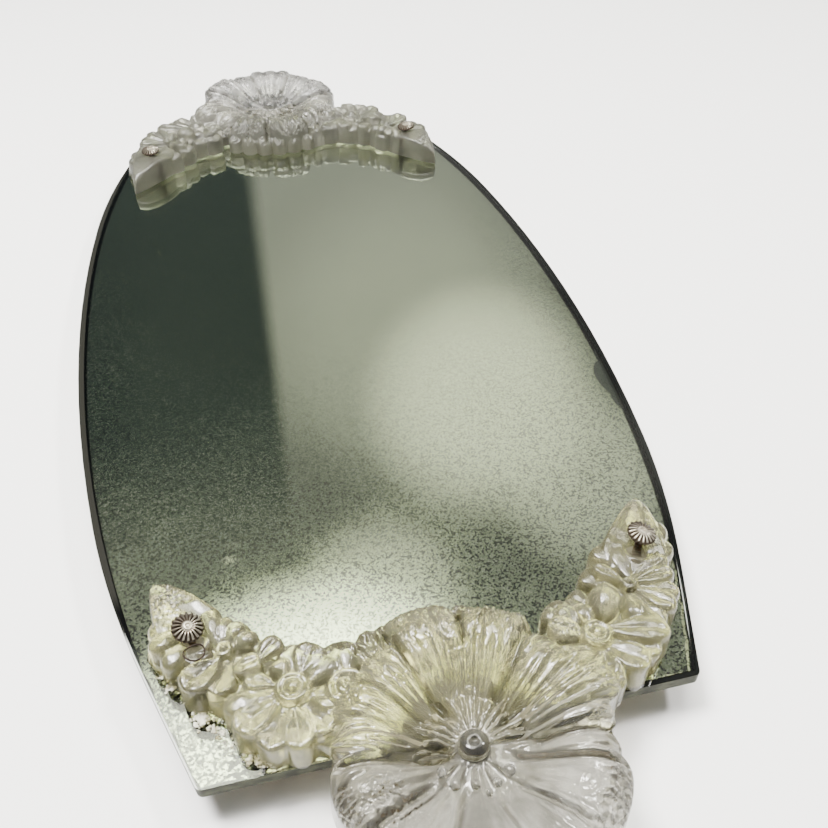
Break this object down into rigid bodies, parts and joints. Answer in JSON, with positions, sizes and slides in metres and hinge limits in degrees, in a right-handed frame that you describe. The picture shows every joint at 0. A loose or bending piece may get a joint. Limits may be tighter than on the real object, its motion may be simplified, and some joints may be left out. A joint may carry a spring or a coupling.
{
  "type": "wall mirror with moulded flower garlands",
  "caption": "Flat barrel-shaped mirror plate on a backing board, with a clear moulded flower garland nailed across each end and a ring to hang it by.",
  "frame": {"origin": "on the surface that the mirror lies on, under the middle of the plate", "axes": "+Z is the way the mirror faces, +Y runs along its length towards the end that hangs uppermost, +X is to the right when it is read with +Y up"},
  "size_m": [0.27, 0.6318, 0.0435],
  "materials": {
    "clear_glass": "clear polished sheet glass, faintly green at its ground edge",
    "aged_silver": "old silvering, grey-green, speckled and worn through in places",
    "clear_moulding": "clear moulded resin, glossy, faintly yellowed, slightly frosted on its side walls",
    "tarnished_brass": "stamped brass, brown with age, bright on its ridges",
    "rusted_steel": "plain steel, rust brown",
    "grey_felt": "pressed wool felt",
    "birch_plywood": "unvarnished plywood, aged brown",
    "black_rubber": "matt rubber"
  },
  "bodies": {
    "mirror": {"mirror_glass": "clear_glass", "silvering": "aged_silver", "felt_sheet": "grey_felt", "backing_board": "birch_plywood", "garland_near": "clear_moulding", "garland_far": "clear_moulding", "rosette_near_left": "tarnished_brass", "rosette_near_right": "tarnished_brass", "rosette_far_left": "tarnished_brass", "rosette_far_right": "tarnished_brass", "nail_near_left": "rusted_steel", "nail_near_right": "rusted_steel", "nail_far_left": "rusted_steel", "nail_far_right": "rusted_steel", "felt_washer_near_left": "grey_felt", "felt_washer_near_right": "grey_felt", "felt_washer_far_left": "grey_felt", "felt_washer_far_right": "grey_felt", "bumper_near_left": "black_rubber", "bumper_near_right": "black_rubber", "bumper_far_left": "black_rubber", "bumper_far_right": "black_rubber", "hanger_strap": "tarnished_brass", "hanger_screw_1": "rusted_steel", "hanger_screw_2": "rusted_steel"},
    "ring": {"hanger_ring": "rusted_steel"}
  },
  "joints": [
    {"name": "ring_swing", "type": "hinge", "parent": "mirror", "child": "ring", "pos_m": [0, 0.092, 0.0027], "axis": [-1, 0, 0], "range_deg": [0, 150]}
  ]
}
